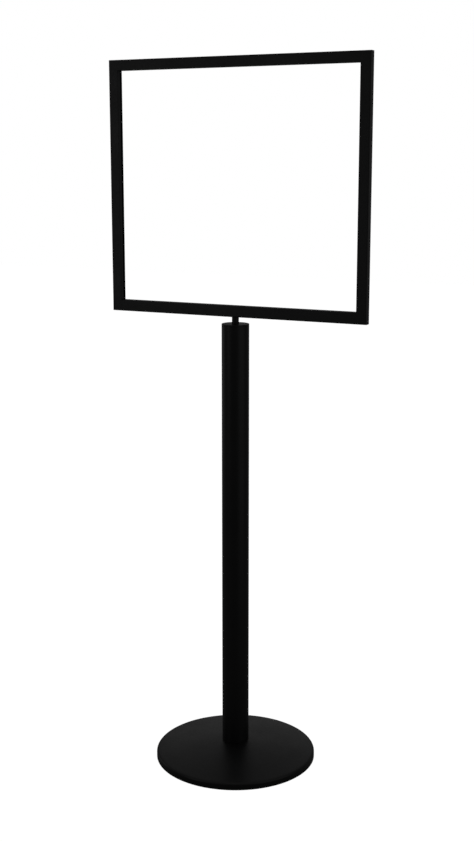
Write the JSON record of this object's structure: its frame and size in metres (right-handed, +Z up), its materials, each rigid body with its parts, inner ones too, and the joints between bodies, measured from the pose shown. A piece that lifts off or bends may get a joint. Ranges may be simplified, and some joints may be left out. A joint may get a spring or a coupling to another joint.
{
  "type": "sign stand",
  "caption": "Floor-standing sign holder: an open landscape frame that swivels on a short stem above a round tubular post and a low domed round base.",
  "frame": {"origin": "on the floor under the post's axis, at the middle of the base", "axes": "+Z up along the post; the frame lies in the XZ plane at rest with its front towards -Y and its width along X"},
  "size_m": [0.646, 0.384, 1.6535],
  "materials": {
    "powder_coated_steel": "satin black powder coat",
    "painted_cast_iron": "rough cast, dipped in matt black paint",
    "powder_coated_frame": "satin black powder coat",
    "blackened_steel": "black oxide, oiled",
    "zinc_plated_steel": "bright zinc plate",
    "turned_steel": "turned, bare",
    "floor_rubber": "moulded, matt",
    "nylon": "natural nylon"
  },
  "bodies": {
    "stand": {"base_cover": "powder_coated_steel", "base_weight": "painted_cast_iron", "floor_ring": "floor_rubber", "base_bolt": "blackened_steel", "base_flat_washer": "zinc_plated_steel", "base_lock_washer": "zinc_plated_steel", "post_foot_plug": "turned_steel", "post_tube": "powder_coated_steel", "post_top_cap": "powder_coated_steel", "swivel_bush": "nylon", "thrust_washer": "nylon"},
    "sign_frame": {"stem": "powder_coated_steel", "spring_washer": "zinc_plated_steel", "backing_washer": "zinc_plated_steel", "stem_lock_nut": "zinc_plated_steel", "lock_nut_insert": "nylon", "rail_nut_plate": "turned_steel", "frame_bottom_rail": "powder_coated_frame", "frame_top_rail": "powder_coated_frame", "frame_left_rail": "powder_coated_frame", "frame_right_rail": "powder_coated_frame", "corner_key_top_left": "zinc_plated_steel", "corner_key_top_right": "zinc_plated_steel", "corner_key_bottom_left": "zinc_plated_steel", "corner_key_bottom_right": "zinc_plated_steel", "corner_grub_screws": "blackened_steel"}
  },
  "joints": [
    {"name": "frame_swivel", "type": "hinge", "parent": "stand", "child": "sign_frame", "pos_m": [0, 0, 1.045], "axis": [0, 0, 1], "continuous": true}
  ]
}
